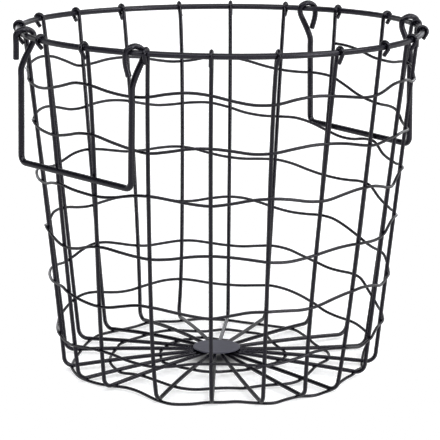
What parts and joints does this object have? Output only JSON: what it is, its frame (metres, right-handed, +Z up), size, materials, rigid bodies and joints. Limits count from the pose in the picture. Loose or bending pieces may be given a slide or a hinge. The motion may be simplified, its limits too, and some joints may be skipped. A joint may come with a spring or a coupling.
{
  "type": "wire laundry basket",
  "caption": "Round tapered wire basket with hooked uprights, a wavy wire wound round the outside and under the base, and swinging bail handles on the rim.",
  "frame": {"origin": "on the floor at the basket's axis", "axes": "+Z up along the basket's axis, +X towards the right handle and -X towards the left handle"},
  "size_m": [0.4081, 0.4086, 0.3553],
  "materials": {
    "rim_wire": "satin charcoal powder coat",
    "upright_wire": "satin charcoal powder coat",
    "wavy_wire": "satin charcoal powder coat",
    "handle_wire": "satin charcoal powder coat, rubbed at the eyes",
    "disc_plate": "satin charcoal powder coat"
  },
  "bodies": {
    "basket": {"rim_ring": "rim_wire", "upright_01": "upright_wire", "upright_02": "upright_wire", "upright_03": "upright_wire", "upright_04": "upright_wire", "upright_05": "upright_wire", "upright_06": "upright_wire", "upright_07": "upright_wire", "upright_08": "upright_wire", "upright_09": "upright_wire", "upright_10": "upright_wire", "upright_11": "upright_wire", "upright_12": "upright_wire", "upright_13": "upright_wire", "upright_14": "upright_wire", "upright_15": "upright_wire", "upright_16": "upright_wire", "upright_17": "upright_wire", "upright_18": "upright_wire", "upright_19": "upright_wire", "upright_20": "upright_wire", "wavy_wire_turn_1": "wavy_wire", "wavy_wire_turn_2": "wavy_wire", "wavy_wire_turn_3": "wavy_wire", "wavy_wire_turn_4": "wavy_wire", "wavy_wire_turn_5": "wavy_wire", "wavy_wire_turn_6": "wavy_wire", "wavy_wire_foot": "wavy_wire", "base_spiral": "wavy_wire", "centre_disc": "disc_plate"},
    "handle_left": {"handle_left": "handle_wire"},
    "handle_right": {"handle_right": "handle_wire"}
  },
  "joints": [
    {"name": "handle_left_swing", "type": "hinge", "parent": "basket", "child": "handle_left", "pos_m": [-0.18345, -0.0083, 0.34494], "axis": [-0.0597, 0.9982, 0.0045], "range_deg": [0, 329]},
    {"name": "handle_right_swing", "type": "hinge", "parent": "basket", "child": "handle_right", "pos_m": [0.18346, -0.00792, 0.34611], "axis": [-0.0418, -0.9991, 0.0063], "range_deg": [0, 329]}
  ]
}
